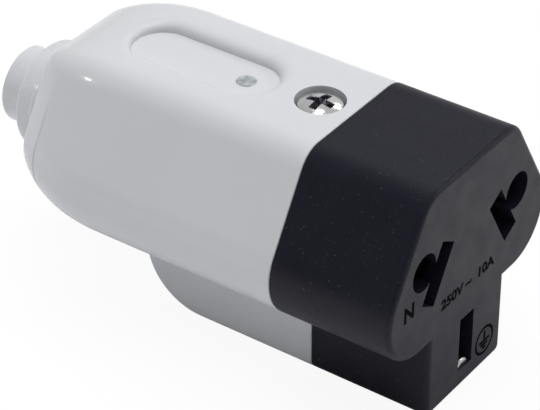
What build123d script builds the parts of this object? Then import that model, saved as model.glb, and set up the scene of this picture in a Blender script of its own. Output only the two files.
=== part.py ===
"""Rewireable three-pole cable socket: black contact core in a white slide-on rear shell.

The face looks towards -Y, the cable leaves towards +Y, +Z is up. The origin is on the
supporting plane, at the centre of the bounding box. Sizes are in millimetres.
"""

from build123d import *
from math import cos, hypot, radians, sin, tan
import os

os.makedirs("parts", exist_ok=True)

# Outer form
overall_length = 67.4
pin_centre_height = 16.4        # centre of the pin layout above the supporting plane
crown_top = 16.4                # flat top above the pin centre
crown_half_width = 17.3
shoulder_radius = 4.08
crown_underside = 5.15          # depth of the crown's underside below the pin centre
lobe_radius = 6.85
side_slope = 31.0               # lean of the crown's slanted sides from the vertical, degrees
keel_half_width = 8.35
keel_corner_radius = 1.0
keel_root_radius = 0.8
keel_end_radius = 8.4
keel_end_depth = 42.2           # from the face to the keel's rear
joint_depth = 16.7              # from the face to the shell's front edge
face_edge_radius = 0.7
joint_edge_radius = 0.2

# Rear dome, a blunt closing of the crown, and the neck collar behind it
dome_start_depth = 44.1
dome_reach = 18.9
dome_power = 2.14
dome_end_depth = 57.4
dome_centre_height = 4.4        # above the pin centre
dome_sections = 7
dome_rim_radius = 1.0
seam_depth = 53.7               # thin groove round the dome
seam_width = 0.35
seam_cut = 0.45
cable_axis_height = 1.85        # above the pin centre
collar_start_depth = 46.0
collar_start_radius = 7.1
collar_end_depth = 61.2
collar_end_radius = 7.4
collar_edge_radius = 0.4

# Shell
wall = 2.0
slide_clearance = 0.1
thumb_setback = 4.9             # from the shell screw's centre to the recess
thumb_length = 24.2
thumb_rim_half_width = 5.7
thumb_floor_half_width = 4.3
thumb_depth = 1.7
thumb_rim_radius = 1.7
thumb_floor_radius = 2.6
thumb_pad_wall = 1.6
dimple_setback = 5.9            # from the recess's front end to the dimple's centre
dimple_radius = 1.5
dimple_depth = 0.5

# Shell screw and its captive nut
shell_screw_setback = 4.8       # from the shell's front edge
screw_recess_radius = 3.15
screw_recess_depth = 2.6
screw_boss_radius = 4.4
screw_boss_floor = 1.6
shell_screw_head_radius = 2.75
shell_screw_head_height = 2.2
shell_screw_radius = 1.5
shell_screw_length = 8.0
nut_size = 5.5
nut_height = 2.0
nut_top_gap = 2.0               # plastic between the nut and the core's screw flat
thread_clearance = 0.05
hole_clearance = 0.15

# Cable sleeve
cable_bore_radius = 3.4
sleeve_ring_radius = 7.3
sleeve_ring_end_depth = 63.6
sleeve_nose_radius = 5.1
sleeve_shank_radius = 5.2
sleeve_flange_radius = 6.2
sleeve_flange_length = 1.2
sleeve_groove = 0.2             # gap between the ring and the shell
sleeve_ring_edge_radius = 0.7
sleeve_nose_edge_radius = 0.9
sleeve_step_radius = 0.45

# Pin apertures
face_wall = 2.4
slot_angle = 30.0
slot_inner_radius = 6.95
slot_width = 2.9
slot_length = 8.0
slot_offset = 0.25              # along the slot towards the top
round_hole_x = 10.15
round_hole_z = 6.35
round_hole_radius = 2.45
earth_slot_top = 5.85
earth_slot_bottom = 13.7
earth_slot_width = 3.05

# Contact chambers and core
spigot_length = 10.3
chamber_inner_radius = 5.5
chamber_outer_radius = 13.6
chamber_length = 8.5
chamber_corner_radius = 0.5
earth_chamber_half_width = 3.7
earth_chamber_top = 5.4
coring_radius = 2.8
coring_height = 1.2
screw_flat_half_width = 6.4

# Contacts, folded brass strip
strip = 0.6
contact_start_depth = 4.2
throat_depth = 8.5
leaf_root_depth = 13.0
contact_base_depth = 20.7
pin_thickness = 1.6
contact_squeeze = 0.4           # how much narrower a throat is than a flat pin
strip_bend_radius = 0.7
pin_radius_position = 7.92      # centre of a flat pin from the layout's centre
flat_leaf_radius = 6.15
flat_finger_radius = 10.6
leaf_width = 7.4
round_finger_width = 3.8
round_finger_radius = 13.1
finger_cut_width = 5.0
earth_leaf_half_gap = 2.3
earth_leaf_top = 6.3
earth_leaf_bottom = 13.1
earth_nose_half_width = 1.35
earth_nose_height = 0.9
earth_nose_recess = 0.3
earth_nose_edge_radius = 0.35
earth_nose_length = 3.2
tail_width = 7.0
earth_tail_height = 8.0         # below the pin centre

# Terminals
terminal_gap = 2.0              # from the contact cover to a wire plate
terminal_overhang = 4.0
terminal_screw_radius = 1.45
terminal_screw_length = 5.0
terminal_head_radius = 2.7
terminal_head_height = 1.6
collar_height = 1.2
collar_radius = 2.4
plate_thickness = 0.9
plate_length = 7.0
plate_lip = 0.6
plate_side_clearance = 0.1

# Contact cover with its cord tongue
cover_thickness = 2.0
tail_slot_clearance = 0.15
cover_screw_x = 9.6
cover_screw_z = -1.3
cover_screw_radius = 0.9
cover_head_radius = 1.7
cover_head_height = 1.2
cover_screw_length = 8.0
tongue_half_width = 4.5
tongue_bottom = 2.3             # below the pin centre
tongue_thickness = 1.7
partition_thickness = 1.2
partition_top = 8.0             # above the pin centre
clamp_gap = 3.5                 # from the contact tails to the clamp's posts
clamp_length = 9.0
clamp_half_width = 9.7
post_width = 4.6
post_length = 6.5
post_top = 3.4                  # above the pin centre

# Cord clamp
clamp_corner_radius = 1.5
clamp_bar_length = 5.6
clamp_bar_thickness = 2.6
clamp_arch_rise = 1.5
clamp_screw_x = 7.4
clamp_screw_radius = 1.25
clamp_head_radius = 2.4
clamp_head_height = 1.5
clamp_screw_length = 8.0

# Screw heads: shares of the head's radius or height
cross_length_share = 1.3
cross_width_share = 0.32
cross_depth_share = 0.6
cross_taper = 8.0
head_round_share = 0.55
tip_chamfer_share = 0.33        # of the shank's radius
nut_chamfer = 0.4

match = 0.01                    # how closely a selector compares places
face_y = -overall_length / 2
throat_gap = pin_thickness - contact_squeeze
spigot_end_depth = joint_depth + spigot_length
cover_end_depth = spigot_end_depth + cover_thickness
terminal_depth = cover_end_depth + terminal_gap + plate_length / 2
tail_end_depth = terminal_depth + terminal_overhang
clamp_start_depth = tail_end_depth + clamp_gap
shell_screw_depth = joint_depth + shell_screw_setback
thumb_start_depth = shell_screw_depth + thumb_setback
dimple_centre_depth = thumb_start_depth + dimple_setback
spigot_inset = wall + slide_clearance
slope_cos = cos(radians(side_slope))
slope_sin = sin(radians(side_slope))
screw_flat_height = crown_top - screw_recess_depth - screw_boss_floor - slide_clearance
clamp_centre_depth = clamp_start_depth + clamp_length / 2


def at(depth):
    """Plane parallel to the face: local x is X, local y is the height above the pin centre."""
    origin = (0, face_y + depth, pin_centre_height)
    return Plane(origin=origin, x_dir=(1, 0, 0), z_dir=(0, -1, 0))


def level(height):
    """Horizontal plane at a height above the pin centre, with its origin over the face's edge."""
    return Plane(origin=(0, face_y, pin_centre_height + height), x_dir=(1, 0, 0), z_dir=(0, 0, 1))


def radial_plane(angle):
    """Plane through the pin centre: local x runs outwards at an angle, local y is the depth."""
    direction = (cos(radians(angle)), 0, sin(radians(angle)))
    normal = (-sin(radians(angle)), 0, cos(radians(angle)))
    return Plane(origin=(0, face_y, pin_centre_height), x_dir=direction, z_dir=normal)


def crown_face(inset=0.0, scale=1.0):
    """Crown section: flat top, slanted sides and two lobes, shrunk towards the dome's centre."""

    def place(x, z):
        return (scale * x, dome_centre_height + scale * (z - dome_centre_height))

    def on_arc(centre, radius, angle):
        return place(centre[0] + radius * cos(radians(angle)), centre[1] + radius * sin(radians(angle)))

    lobe = (crown_half_width - lobe_radius, lobe_radius - crown_underside)
    side_offset = slope_cos * lobe[0] + slope_sin * lobe[1] + lobe_radius
    corner_x = (side_offset - slope_sin * crown_top) / slope_cos
    flat_half_width = corner_x - shoulder_radius * tan(radians((90 - side_slope) / 2))
    shoulder = (flat_half_width, crown_top - shoulder_radius)
    shoulder_inner = shoulder_radius - inset
    lobe_inner = lobe_radius - inset
    with BuildLine() as outline:
        Line(place(0, crown_top - inset), on_arc(shoulder, shoulder_inner, 90))
        ThreePointArc(
            on_arc(shoulder, shoulder_inner, 90),
            on_arc(shoulder, shoulder_inner, (90 + side_slope) / 2),
            on_arc(shoulder, shoulder_inner, side_slope),
        )
        Line(on_arc(shoulder, shoulder_inner, side_slope), on_arc(lobe, lobe_inner, side_slope))
        ThreePointArc(
            on_arc(lobe, lobe_inner, side_slope),
            on_arc(lobe, lobe_inner, (side_slope - 90) / 2),
            on_arc(lobe, lobe_inner, -90),
        )
        Line(on_arc(lobe, lobe_inner, -90), place(0, inset - crown_underside))
        mirror(about=Plane.YZ)
    make_face(outline.edges())


def body_face(inset=0.0):
    """Whole section: the crown with its keel, rounded at the keel's root and corners."""
    crown_face(inset)
    bottom = -pin_centre_height + inset
    top = -crown_underside + inset
    with Locations((0, (bottom + top) / 2)):
        Rectangle(2 * (keel_half_width - inset), top - bottom)


def round_keel(sketch, inset=0.0):
    """Round the keel's two roots and its two bottom corners in a body section."""
    sides = sketch.vertices().filter_by(
        lambda v: abs(abs(v.X) - keel_half_width + inset) < match
    )
    heights = sides.group_by(Axis.Y)
    fillet(heights[0], keel_corner_radius)
    fillet(heights[-1], keel_root_radius)


def dome_scale(depth, reach):
    """Size of a dome section relative to the crown, from 1 at the dome's start."""
    share = (depth - dome_start_depth) / reach
    return (1 - share**dome_power) ** (1 / dome_power)


def dome_depths(end):
    """Depths of the dome's sections, closer together where the dome closes faster."""
    span = end - dome_start_depth
    last = dome_sections - 1
    return [dome_start_depth + span * sin(radians(90 * i / last)) for i in range(dome_sections)]


def crown_solid(start, end, inset=0.0):
    """Crown from a depth behind the face to the dome's end, as one closed solid."""
    with BuildPart() as crown:
        with BuildSketch(at(start)):
            crown_face(inset)
        extrude(amount=start - dome_start_depth)
        for depth in dome_depths(end):
            with BuildSketch(at(depth)):
                crown_face(inset, dome_scale(depth, dome_reach - inset))
        loft()
    return crown.part


def seam_tool():
    """Thin frame round the dome, from outside the crown to a little below the dome's surface."""
    with BuildPart() as tool:
        with BuildSketch(at(seam_depth)):
            crown_face()
        extrude(amount=-seam_width)
        with BuildSketch(at(seam_depth)):
            crown_face(seam_cut, dome_scale(seam_depth, dome_reach))
        extrude(amount=-seam_width, mode=Mode.SUBTRACT)
    return tool.part


def keel_solid(start, inset=0.0):
    """Keel from a depth behind the face to its rounded rear end, with softened edges."""
    bottom = -pin_centre_height + inset
    end = keel_end_depth - inset
    round_radius = keel_end_radius - inset
    root = cable_axis_height
    side = Plane(origin=(0, face_y, pin_centre_height), x_dir=(0, 1, 0), z_dir=(1, 0, 0))
    with BuildPart() as keel:
        with BuildSketch(side):
            with BuildLine():
                Polyline((end, bottom + round_radius), (end, root), (start, root), (start, bottom))
                Line((start, bottom), (end - round_radius, bottom))
                RadiusArc(
                    (end - round_radius, bottom), (end, bottom + round_radius), -round_radius
                )
            make_face()
        extrude(amount=keel_half_width - inset, both=True)
        edges = keel.edges().filter_by(
            lambda e: abs(abs(e.center().X) - keel_half_width + inset) < match
        )
        lower = edges.filter_by(lambda e: e.center().Z < pin_centre_height - crown_underside)
        outline = lower.filter_by(lambda e: e.center().Y > face_y + start + match)
        fillet(outline, keel_corner_radius if inset == 0 else keel_corner_radius / 2)
    return keel.part


def cross_screw(plane, head_radius, head_height, shank_radius, length, label):
    """Pan-head screw with a cross recess; its shank runs along the plane's reverse normal."""
    recess_length = cross_length_share * head_radius
    recess_width = cross_width_share * head_radius
    along = Axis(plane.origin, plane.z_dir)
    with BuildPart() as screw:
        with BuildSketch(plane):
            Circle(shank_radius)
        extrude(amount=-length)
        chamfer(screw.edges().group_by(along)[0], tip_chamfer_share * shank_radius)
        with BuildSketch(plane):
            Circle(head_radius)
        extrude(amount=head_height)
        fillet(screw.edges().group_by(along)[-1], head_round_share * head_height)
        with BuildSketch(plane.offset(head_height)):
            Rectangle(recess_length, recess_width)
            Rectangle(recess_width, recess_length)
        extrude(amount=-cross_depth_share * head_height, taper=cross_taper, mode=Mode.SUBTRACT)
    screw.part.label = label
    return screw.part


def strip_profile(points):
    """Section of a folded strip: a line with rounded bends, given the strip's thickness."""
    with BuildLine() as line:
        FilletPolyline(*points, radius=strip_bend_radius)
    trace(line.edges(), line_width=strip)


def spot(x, depth, height):
    """Horizontal plane at a point given by its depth and its height above the pin centre."""
    return Plane(origin=(x, face_y + depth, pin_centre_height + height), z_dir=(0, 0, 1))


def terminal_plane(angle, radius):
    """Plane across a terminal screw: its normal runs outwards from the pin centre."""
    direction = (cos(radians(angle)), 0, sin(radians(angle)))
    centre = (radius * direction[0], face_y + terminal_depth, pin_centre_height + radius * direction[2])
    return Plane(origin=centre, x_dir=(0, 1, 0), z_dir=direction)


def screw_flat():
    """Rectangle that takes the top off the core for the shell's screw boss and thumb pad."""
    height = crown_top - screw_flat_height
    with Locations((0, screw_flat_height + height / 2)):
        Rectangle(2 * screw_flat_half_width, height, mode=Mode.SUBTRACT)


def terminal_tail(angle, radius):
    """Flat tail of a contact, with its threaded collar under the terminal screw."""
    length = tail_end_depth - contact_base_depth + strip
    with BuildPart() as tail:
        with BuildSketch(radial_plane(angle)):
            with Locations((radius, tail_end_depth - length / 2)):
                Rectangle(strip, length)
        extrude(amount=tail_width / 2, both=True)
        with BuildSketch(terminal_plane(angle, radius)):
            Circle(collar_radius)
        extrude(amount=-strip / 2 - collar_height)
        with BuildSketch(terminal_plane(angle, radius)):
            Circle(terminal_screw_radius + thread_clearance)
        extrude(amount=strip + collar_height, both=True, mode=Mode.SUBTRACT)
    return tail.part


def pin_contact(angle, label):
    """Contact of a slanted aperture: two fingers grip a flat pin, one grips a round pin."""
    plane = radial_plane(angle)
    tail = terminal_tail(angle, flat_leaf_radius)
    inner_throat = pin_radius_position - (throat_gap + strip) / 2
    outer_throat = pin_radius_position + (throat_gap + strip) / 2
    flare = slot_inner_radius + slot_width
    with BuildPart() as contact:
        with BuildSketch(plane):
            strip_profile(
                [
                    (flat_leaf_radius, contact_start_depth),
                    (inner_throat, throat_depth),
                    (flat_leaf_radius, leaf_root_depth),
                    (flat_leaf_radius, contact_base_depth),
                    (flat_finger_radius, contact_base_depth),
                    (flat_finger_radius, leaf_root_depth),
                    (outer_throat, throat_depth),
                    (flare, contact_start_depth),
                ]
            )
        extrude(amount=leaf_width / 2, both=True)
        finger_root = contact_base_depth - 2 * strip
        with BuildSketch(plane):
            with Locations((flat_finger_radius, finger_root / 2)):
                Rectangle(2 * (flat_finger_radius - pin_radius_position), finger_root)
        extrude(amount=finger_cut_width / 2, both=True, mode=Mode.SUBTRACT)
        with BuildSketch(plane):
            strip_profile(
                [
                    (flat_finger_radius - 2 * strip, contact_base_depth),
                    (round_finger_radius, contact_base_depth),
                    (round_finger_radius, leaf_root_depth),
                    (round_finger_radius - strip / 2, throat_depth),
                    (round_finger_radius, contact_start_depth),
                ]
            )
        extrude(amount=round_finger_width / 2, both=True)
        add(tail)
    contact.part.label = label
    return contact.part


def wire_plate(angle, radius, label):
    """Square plate under a terminal screw's head, with lips that hug the tail's two edges."""
    plane = terminal_plane(angle, radius + strip / 2)
    half_gap = tail_width / 2 + plate_side_clearance
    with BuildPart() as plate:
        with BuildSketch(plane):
            Rectangle(plate_length, 2 * (half_gap + plate_lip))
        extrude(amount=plate_thickness)
        with BuildSketch(plane):
            with Locations((0, half_gap + plate_lip / 2), (0, -half_gap - plate_lip / 2)):
                Rectangle(plate_length, plate_lip)
        extrude(amount=-strip)
        with BuildSketch(plane):
            Circle(terminal_screw_radius + hole_clearance)
        extrude(amount=plate_thickness, mode=Mode.SUBTRACT)
    plate.part.label = label
    return plate.part


def thumb_tool():
    """Oblong dish of the thumb recess: one section carried straight and turned at both ends."""
    floor = crown_top - thumb_depth
    above = crown_top + thumb_depth
    rim_plane = crown_top + match
    ends = [thumb_start_depth + thumb_rim_half_width]
    ends.append(thumb_start_depth + thumb_length - thumb_rim_half_width)
    brim = thumb_rim_half_width + thumb_rim_radius
    corners = [(0, floor), (thumb_floor_half_width, floor), (thumb_rim_half_width, rim_plane)]
    corners += [(brim, rim_plane), (brim, above), (0, above)]
    with BuildSketch() as half_section:
        with BuildLine():
            Polyline(*corners, close=True)
        make_face()
        points = half_section.vertices()
        floor_corner = points.sort_by_distance(corners[1])[0]
        fillet(floor_corner, thumb_floor_radius)
        rim_corner = half_section.vertices().sort_by_distance(corners[2])[0]
        fillet(rim_corner, thumb_rim_radius)
    with BuildPart() as tool:
        with BuildSketch(at(ends[0])):
            add(half_section.sketch)
            mirror(about=Plane.YZ)
        extrude(amount=ends[0] - ends[1])
        for depth in ends:
            with BuildSketch(at(depth)):
                add(half_section.sketch)
            revolve(axis=Axis((0, face_y + depth, 0), (0, 0, 1)))
    return tool.part


# Rear shell: crown, keel and neck collar in one moulding, hollow to the joint
with BuildPart() as shell_crown:
    add(crown_solid(joint_depth, dome_end_depth))
    fillet(shell_crown.edges().group_by(Axis.Y)[-1], dome_rim_radius)
    add(seam_tool(), mode=Mode.SUBTRACT)
shell_keel = keel_solid(joint_depth)
thumb_dish = thumb_tool()
cavity_crown = crown_solid(joint_depth, dome_end_depth - wall, wall)
cavity_keel = keel_solid(joint_depth, wall)

with BuildPart() as rear_shell:
    add(shell_crown.part)
    add(shell_keel)
    root_edges = rear_shell.edges().filter_by(
        lambda e: abs(abs(e.center().X) - keel_half_width) < match
        and abs(e.center().Z - pin_centre_height + crown_underside) < match
    )
    fillet(root_edges, keel_root_radius)
    fillet(rear_shell.edges().group_by(Axis.Y)[0], joint_edge_radius)
    with BuildSketch(at(collar_start_depth)):
        with Locations((0, cable_axis_height)):
            Circle(collar_start_radius)
    with BuildSketch(at(collar_end_depth)):
        with Locations((0, cable_axis_height)):
            Circle(collar_end_radius)
    loft()
    fillet(rear_shell.edges().group_by(Axis.Y)[-1], collar_edge_radius)
    add(cavity_crown, mode=Mode.SUBTRACT)
    add(cavity_keel, mode=Mode.SUBTRACT)

    # Hole and inner pocket for the cable sleeve
    with BuildSketch(at(collar_end_depth)):
        with Locations((0, cable_axis_height)):
            Circle(sleeve_shank_radius + slide_clearance)
    extrude(amount=2 * wall, mode=Mode.SUBTRACT)
    with BuildSketch(at(collar_end_depth - wall)):
        with Locations((0, cable_axis_height)):
            Circle(sleeve_flange_radius + slide_clearance)
    extrude(amount=collar_end_depth - dome_end_depth + wall / 2, mode=Mode.SUBTRACT)

    # Boss and stepped hole for the shell screw
    with BuildSketch(level(crown_top - screw_recess_depth - screw_boss_floor)):
        with Locations((0, shell_screw_depth)):
            Circle(screw_boss_radius)
    extrude(amount=screw_recess_depth + screw_boss_floor - wall / 2)
    with BuildSketch(level(crown_top)):
        with Locations((0, shell_screw_depth)):
            Circle(screw_recess_radius)
    extrude(amount=-screw_recess_depth, mode=Mode.SUBTRACT)
    with BuildSketch(level(crown_top)):
        with Locations((0, shell_screw_depth)):
            Circle(shell_screw_radius + hole_clearance)
    extrude(amount=-screw_recess_depth - 2 * screw_boss_floor, mode=Mode.SUBTRACT)

    # Pad inside the top, then the thumb recess and its dimple
    thumb_centre_depth = thumb_start_depth + thumb_length / 2
    with BuildSketch(level(crown_top - thumb_depth - thumb_pad_wall)):
        with Locations((0, thumb_centre_depth)):
            SlotOverall(thumb_length, 2 * thumb_rim_half_width, rotation=90)
    extrude(amount=thumb_depth + thumb_pad_wall - wall / 2)
    add(thumb_dish, mode=Mode.SUBTRACT)
    ball_radius = (dimple_radius**2 + dimple_depth**2) / (2 * dimple_depth)
    with Locations(spot(0, dimple_centre_depth, crown_top - thumb_depth - dimple_depth + ball_radius)):
        Sphere(ball_radius, mode=Mode.SUBTRACT)
rear_shell.part.label = "rear_shell"
export_step(rear_shell.part, "parts/rear_shell.step")

# Socket body: the black core, with the pin apertures and contact chambers
with BuildPart() as socket_body:
    with BuildSketch(at(0)) as face_section:
        body_face()
        round_keel(face_section)
    extrude(amount=-joint_depth)
    fillet(socket_body.edges().group_by(Axis.Y)[0], face_edge_radius)
    fillet(socket_body.edges().group_by(Axis.Y)[-1], joint_edge_radius)
    with BuildSketch(at(joint_depth)) as spigot_section:
        body_face(spigot_inset)
        round_keel(spigot_section, spigot_inset)
        screw_flat()
    extrude(amount=-spigot_length)

    # Apertures through the face wall
    with BuildSketch(at(0)):
        with PolarLocations(slot_inner_radius + slot_width / 2, 1, slot_angle):
            with Locations((0, slot_offset)):
                Rectangle(slot_width, slot_length)
        with Locations((round_hole_x, round_hole_z)):
            Circle(round_hole_radius)
        mirror(about=Plane.YZ)
        with Locations((0, -(earth_slot_top + earth_slot_bottom) / 2)):
            Rectangle(earth_slot_width, earth_slot_bottom - earth_slot_top)
    extrude(amount=-face_wall, mode=Mode.SUBTRACT)

    # Chambers, open to the rear
    with BuildSketch(at(face_wall)):
        chamber_width = chamber_outer_radius - chamber_inner_radius
        with PolarLocations(
            chamber_inner_radius + chamber_width / 2, 2, slot_angle, 180 - 2 * slot_angle, endpoint=True
        ):
            RectangleRounded(chamber_width, chamber_length, chamber_corner_radius)
        with Locations((0, -(earth_chamber_top + earth_slot_bottom) / 2)):
            Rectangle(2 * earth_chamber_half_width, earth_slot_bottom - earth_chamber_top)
        with Locations((0, coring_height)):
            Circle(coring_radius)
    extrude(amount=face_wall - spigot_end_depth, mode=Mode.SUBTRACT)

    # Slot for the captive nut, its screw hole, and pilot holes for the cover screws
    nut_middle = screw_flat_height - nut_top_gap - nut_height / 2
    nut_front = shell_screw_depth - nut_size / 2 - slide_clearance
    with BuildSketch(at(nut_front)):
        with Locations((0, nut_middle)):
            Rectangle(nut_size + 2 * slide_clearance, nut_height + 2 * slide_clearance)
    extrude(amount=nut_front - spigot_end_depth, mode=Mode.SUBTRACT)
    with BuildSketch(spot(0, shell_screw_depth, crown_top - screw_recess_depth)):
        Circle(shell_screw_radius + hole_clearance)
    extrude(amount=-shell_screw_length - slide_clearance, mode=Mode.SUBTRACT)
    with BuildSketch(at(spigot_end_depth)):
        with Locations((cover_screw_x, cover_screw_z), (-cover_screw_x, cover_screw_z)):
            Circle(cover_screw_radius + thread_clearance)
    extrude(amount=cover_screw_length, mode=Mode.SUBTRACT)
socket_body.part.label = "socket_body"
export_step(socket_body.part, "parts/socket_body.step")

# Contact cover: closes the chambers and carries the cord tongue with its two clamp posts
with BuildPart() as contact_cover:
    with BuildSketch(at(spigot_end_depth)) as cover_section:
        body_face(spigot_inset)
        round_keel(cover_section, spigot_inset)
        screw_flat()
    extrude(amount=-cover_thickness)
    tongue_top = tongue_thickness - tongue_bottom
    with BuildSketch(at(cover_end_depth)):
        with Locations((0, (tongue_top - tongue_bottom) / 2)):
            Rectangle(2 * tongue_half_width, tongue_thickness)
        with Locations((0, (partition_top + tongue_top) / 2)):
            Rectangle(partition_thickness, partition_top - tongue_top)
    extrude(amount=cover_end_depth - clamp_start_depth)
    with BuildSketch(level(-tongue_bottom)):
        with Locations((0, clamp_centre_depth)):
            RectangleRounded(2 * clamp_half_width, clamp_length, clamp_corner_radius)
    extrude(amount=tongue_thickness)
    with BuildSketch(level(-tongue_bottom)):
        with Locations((clamp_screw_x, clamp_centre_depth), (-clamp_screw_x, clamp_centre_depth)):
            Rectangle(post_width, post_length)
    extrude(amount=post_top + tongue_bottom)
    with BuildSketch(at(clamp_start_depth)):
        with Locations((0, cable_axis_height)):
            Circle(cable_bore_radius)
    extrude(amount=-clamp_length, mode=Mode.SUBTRACT)
    with BuildSketch(at(spigot_end_depth)):
        slot_thickness = strip + 2 * tail_slot_clearance
        slot_breadth = tail_width + 2 * tail_slot_clearance
        with PolarLocations(flat_leaf_radius, 2, slot_angle, 180 - 2 * slot_angle, endpoint=True):
            Rectangle(slot_thickness, slot_breadth)
        with Locations((0, -earth_tail_height)):
            Rectangle(slot_breadth, slot_thickness)
        with Locations((cover_screw_x, cover_screw_z), (-cover_screw_x, cover_screw_z)):
            Circle(cover_screw_radius + hole_clearance)
    extrude(amount=-cover_thickness, mode=Mode.SUBTRACT)
    with BuildSketch(level(post_top)):
        with Locations((clamp_screw_x, clamp_centre_depth), (-clamp_screw_x, clamp_centre_depth)):
            Circle(clamp_screw_radius + thread_clearance)
    extrude(amount=clamp_bar_thickness - clamp_screw_length, mode=Mode.SUBTRACT)
contact_cover.part.label = "contact_cover"
export_step(contact_cover.part, "parts/contact_cover.step")

# Contacts of the two slanted apertures, with their wire plates and terminal screws
terminals = {"live": slot_angle, "neutral": 180 - slot_angle}
for pole, angle in terminals.items():
    contact_part = pin_contact(angle, f"{pole}_contact")
    export_step(contact_part, f"parts/{pole}_contact.step")

# Earth contact: two leaves on a base, with a rounded nose low in its aperture
earth_tail = terminal_tail(-90, earth_tail_height)
with BuildPart() as earth_contact:
    flare = earth_slot_width / 2 + strip / 2
    throat = (throat_gap + strip) / 2
    rising = [
        (-flare, contact_start_depth),
        (-throat, throat_depth),
        (-earth_leaf_half_gap, leaf_root_depth),
        (-earth_leaf_half_gap, contact_base_depth),
    ]
    returning = [(-x, depth) for x, depth in reversed(rising)]
    with BuildSketch(level(-(earth_leaf_top + earth_leaf_bottom) / 2)):
        strip_profile(rising + returning)
    extrude(amount=(earth_leaf_bottom - earth_leaf_top) / 2, both=True)
    nose_floor = earth_slot_bottom - slide_clearance / 2
    tongue_middle = nose_floor - strip / 2
    tongue_length = contact_base_depth - earth_nose_recess
    with BuildSketch(radial_plane(-90)):
        with Locations((tongue_middle, earth_nose_recess + earth_nose_length / 2 + tongue_length / 2)):
            Rectangle(strip, tongue_length - earth_nose_length)
    extrude(amount=earth_nose_half_width, both=True)
    nose_radius = (earth_nose_half_width**2 + earth_nose_height**2) / (2 * earth_nose_height)
    with BuildSketch(at(earth_nose_recess)):
        with Locations((0, earth_nose_height - nose_floor - nose_radius)):
            Circle(nose_radius)
        with Locations((0, -nose_floor - nose_radius)):
            Rectangle(2 * nose_radius, 2 * nose_radius, mode=Mode.SUBTRACT)
    extrude(amount=-earth_nose_length)
    nose_rim = earth_contact.edges().group_by(Axis.Y)[0].filter_by(GeomType.CIRCLE)
    fillet(nose_rim, earth_nose_edge_radius)
    add(earth_tail)
earth_contact.part.label = "earth_contact"
export_step(earth_contact.part, "parts/earth_contact.step")

terminals["earth"] = -90
for pole, angle in terminals.items():
    tail_radius = earth_tail_height if pole == "earth" else flat_leaf_radius
    plate_part = wire_plate(angle, tail_radius, f"{pole}_wire_plate")
    export_step(plate_part, f"parts/{pole}_wire_plate.step")
    screw_part = cross_screw(
        terminal_plane(angle, tail_radius + strip / 2 + plate_thickness),
        terminal_head_radius,
        terminal_head_height,
        terminal_screw_radius,
        terminal_screw_length,
        f"{pole}_terminal_screw",
    )
    export_step(screw_part, f"parts/{pole}_terminal_screw.step")

# Cover screws and clamp screws, one pair each side of the middle
for side, sign in {"left": -1, "right": 1}.items():
    cover_plane = Plane(
        origin=(sign * cover_screw_x, face_y + cover_end_depth, pin_centre_height + cover_screw_z),
        x_dir=(1, 0, 0),
        z_dir=(0, 1, 0),
    )
    cover_screw = cross_screw(
        cover_plane,
        cover_head_radius,
        cover_head_height,
        cover_screw_radius,
        cover_screw_length,
        f"cover_screw_{side}",
    )
    export_step(cover_screw, f"parts/cover_screw_{side}.step")
    clamp_screw = cross_screw(
        spot(sign * clamp_screw_x, clamp_centre_depth, post_top + clamp_bar_thickness),
        clamp_head_radius,
        clamp_head_height,
        clamp_screw_radius,
        clamp_screw_length,
        f"clamp_screw_{side}",
    )
    export_step(clamp_screw, f"parts/clamp_screw_{side}.step")

# Cord clamp: an arched bar on the two posts
with BuildPart() as cord_clamp:
    arch_half_width = clamp_screw_x - clamp_head_radius - slide_clearance
    arch_radius = (arch_half_width**2 + clamp_arch_rise**2) / (2 * clamp_arch_rise)
    arch_centre = post_top + clamp_arch_rise - arch_radius
    bar_top = post_top + clamp_bar_thickness
    outer_radius = hypot(arch_half_width, bar_top - arch_centre)
    with BuildSketch(at(clamp_centre_depth)):
        with Locations((0, arch_centre)):
            Circle(outer_radius)
        with Locations((0, post_top - outer_radius)):
            Rectangle(2 * outer_radius, 2 * outer_radius, mode=Mode.SUBTRACT)
        with Locations((0, post_top + clamp_bar_thickness / 2)):
            Rectangle(2 * clamp_half_width, clamp_bar_thickness)
        with Locations((0, arch_centre)):
            Circle(arch_radius, mode=Mode.SUBTRACT)
    extrude(amount=clamp_bar_length / 2, both=True)
    with BuildSketch(level(post_top)):
        with Locations((clamp_screw_x, clamp_centre_depth), (-clamp_screw_x, clamp_centre_depth)):
            Circle(clamp_screw_radius + hole_clearance)
    extrude(amount=clamp_bar_thickness, mode=Mode.SUBTRACT)
cord_clamp.part.label = "cord_clamp"
export_step(cord_clamp.part, "parts/cord_clamp.step")

# Shell screw and the square nut that it draws up inside the core
shell_screw = cross_screw(
    spot(0, shell_screw_depth, crown_top - screw_recess_depth),
    shell_screw_head_radius,
    shell_screw_head_height,
    shell_screw_radius,
    shell_screw_length,
    "shell_screw",
)
export_step(shell_screw, "parts/shell_screw.step")

with BuildPart() as shell_nut:
    with BuildSketch(spot(0, shell_screw_depth, nut_middle - nut_height / 2)):
        Rectangle(nut_size, nut_size)
        Circle(shell_screw_radius + thread_clearance, mode=Mode.SUBTRACT)
    extrude(amount=nut_height)
    chamfer(shell_nut.edges().filter_by(Axis.Z), nut_chamfer)
shell_nut.part.label = "shell_nut"
export_step(shell_nut.part, "parts/shell_nut.step")

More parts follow.
